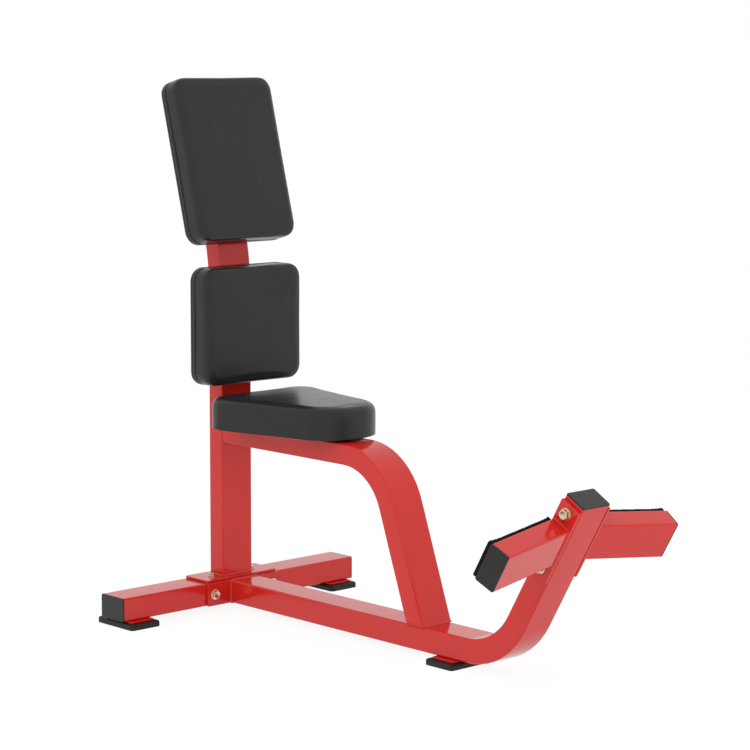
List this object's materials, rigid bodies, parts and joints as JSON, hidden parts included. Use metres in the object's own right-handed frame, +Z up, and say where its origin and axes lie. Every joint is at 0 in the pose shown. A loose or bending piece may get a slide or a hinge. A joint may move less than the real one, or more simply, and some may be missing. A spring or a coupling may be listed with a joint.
{
  "type": "utility bench",
  "caption": "Compact seated utility bench with a split fixed back rest, tapered seat, bent tube frame and splayed foot pegs.",
  "frame": {"origin": "on the floor under the middle of the overall width and length", "axes": "+Z up; the sitter faces -Y, so the foot pegs are at the -Y end and the post at the +Y end; +X across the bench"},
  "size_m": [0.6464, 1.1636, 1.1428],
  "materials": {
    "red_enamel": "glossy red powder coat over steel",
    "vinyl": "satin black vinyl upholstery",
    "board_cover": "satin black vinyl wrapped round a plywood board",
    "black_plastic": "satin black moulded plastic",
    "black_rubber": "matt black rubber",
    "zinc": "warm zinc-plated steel"
  },
  "bodies": {
    "root": {"back_post": "red_enamel", "back_post_cap": "black_plastic", "base_beam": "red_enamel", "beam_joint_plate": "red_enamel", "foot_peg_cap_left": "black_plastic", "foot_peg_cap_right": "black_plastic", "foot_peg_left": "red_enamel", "foot_peg_right": "red_enamel", "foot_plate_front": "red_enamel", "foot_plate_rear_left": "red_enamel", "foot_plate_rear_right": "red_enamel", "foot_screw_front": "zinc", "foot_screw_rear_left": "zinc", "foot_screw_rear_right": "zinc", "joint_bolt_left": "zinc", "joint_bolt_right": "zinc", "joint_nut_left": "zinc", "joint_nut_right": "zinc", "lower_pad_board": "board_cover", "lower_pad_cushion": "vinyl", "lower_pad_plate": "red_enamel", "lower_pad_screw_1": "zinc", "lower_pad_screw_2": "zinc", "peg_bolt_lower": "zinc", "peg_bolt_upper": "zinc", "peg_grip_left": "black_rubber", "peg_grip_right": "black_rubber", "peg_nut_lower": "zinc", "peg_nut_upper": "zinc", "peg_plate_left": "red_enamel", "peg_plate_right": "red_enamel", "post_bolt_left": "zinc", "post_bolt_right": "zinc", "post_foot_plate": "red_enamel", "rear_beam_cap_left": "black_plastic", "rear_beam_cap_right": "black_plastic", "rear_cross_beam": "red_enamel", "rubber_foot_front": "black_rubber", "rubber_foot_rear_left": "black_rubber", "rubber_foot_rear_right": "black_rubber", "seat_board": "board_cover", "seat_cushion": "vinyl", "seat_plate": "red_enamel", "seat_screw_1": "zinc", "seat_screw_2": "zinc", "seat_screw_3": "zinc", "seat_screw_4": "zinc", "seat_tube": "red_enamel", "upper_pad_board": "board_cover", "upper_pad_cushion": "vinyl", "upper_pad_plate": "red_enamel", "upper_pad_screw_1": "zinc", "upper_pad_screw_2": "zinc", "upper_pad_screw_3": "zinc", "upper_pad_screw_4": "zinc", "upright_cap": "black_plastic", "weld_nut_left": "zinc", "weld_nut_right": "zinc"}
  },
  "joints": []
}
